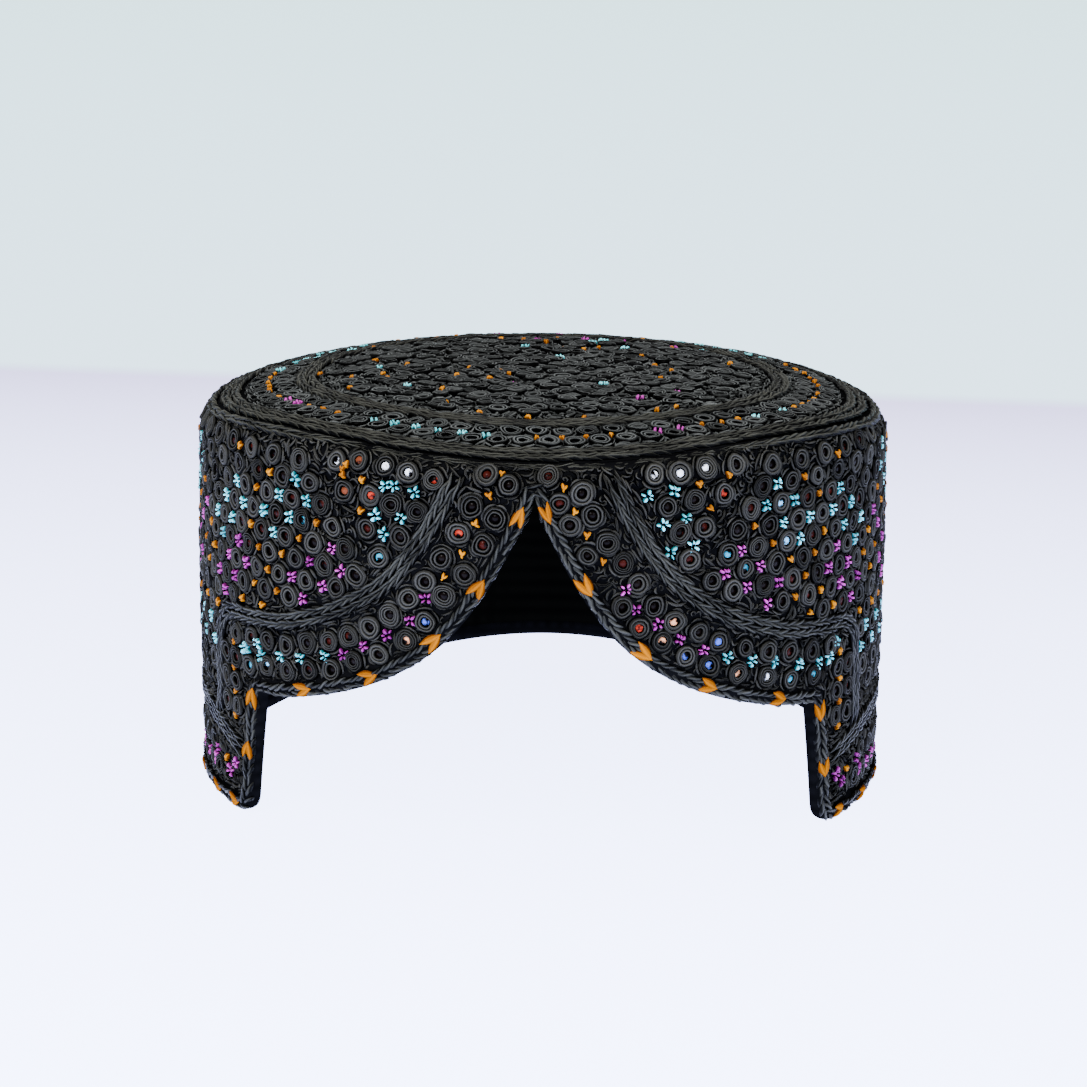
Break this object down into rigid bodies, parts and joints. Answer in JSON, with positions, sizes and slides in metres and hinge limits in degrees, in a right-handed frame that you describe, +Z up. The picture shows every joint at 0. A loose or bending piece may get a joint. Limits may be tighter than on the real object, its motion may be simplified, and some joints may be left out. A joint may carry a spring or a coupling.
{
  "type": "sindhi cap",
  "caption": "Round flat-topped embroidered cap with a pointed arch cut out over the forehead, side flaps and plaited edge binding.",
  "frame": {"origin": "middle of the cap at the level its flaps stand on", "axes": "+Z up through the crown, -Y towards the front arch, +X towards the right side as seen from the front"},
  "size_m": [0.1908, 0.1909, 0.1119],
  "materials": {
    "embroidered_cloth": "black cotton ground under dense stitching, matte",
    "lining_cloth": "plain black cotton lining, matte",
    "braid_thread": "charcoal cotton thread, soft sheen",
    "orange_thread": "orange cotton thread, soft sheen",
    "cyan_thread": "pale cyan silk thread, soft sheen",
    "magenta_thread": "magenta silk thread, soft sheen",
    "mirror_chip": "small silvered glass discs"
  },
  "bodies": {
    "root": {"crown_panel": "embroidered_cloth", "wall_front_left": "embroidered_cloth", "wall_front_right": "embroidered_cloth", "wall_back_left": "embroidered_cloth", "wall_back_right": "embroidered_cloth", "crown_lining": "lining_cloth", "wall_lining": "lining_cloth", "binding_arch": "braid_thread", "binding_flap_left": "braid_thread", "binding_flap_right": "braid_thread", "binding_back": "braid_thread", "crown_edge_braid": "braid_thread", "shoulder_braid": "braid_thread", "crown_inner_braid_outer": "braid_thread", "crown_inner_braid_inner": "braid_thread", "panel_braid_left_upper": "braid_thread", "panel_braid_left_lower": "braid_thread", "panel_braid_right_upper": "braid_thread", "panel_braid_right_lower": "braid_thread", "hem_braid_upper": "braid_thread", "hem_braid_lower": "braid_thread", "back_seam_braid": "braid_thread"}
  },
  "joints": []
}
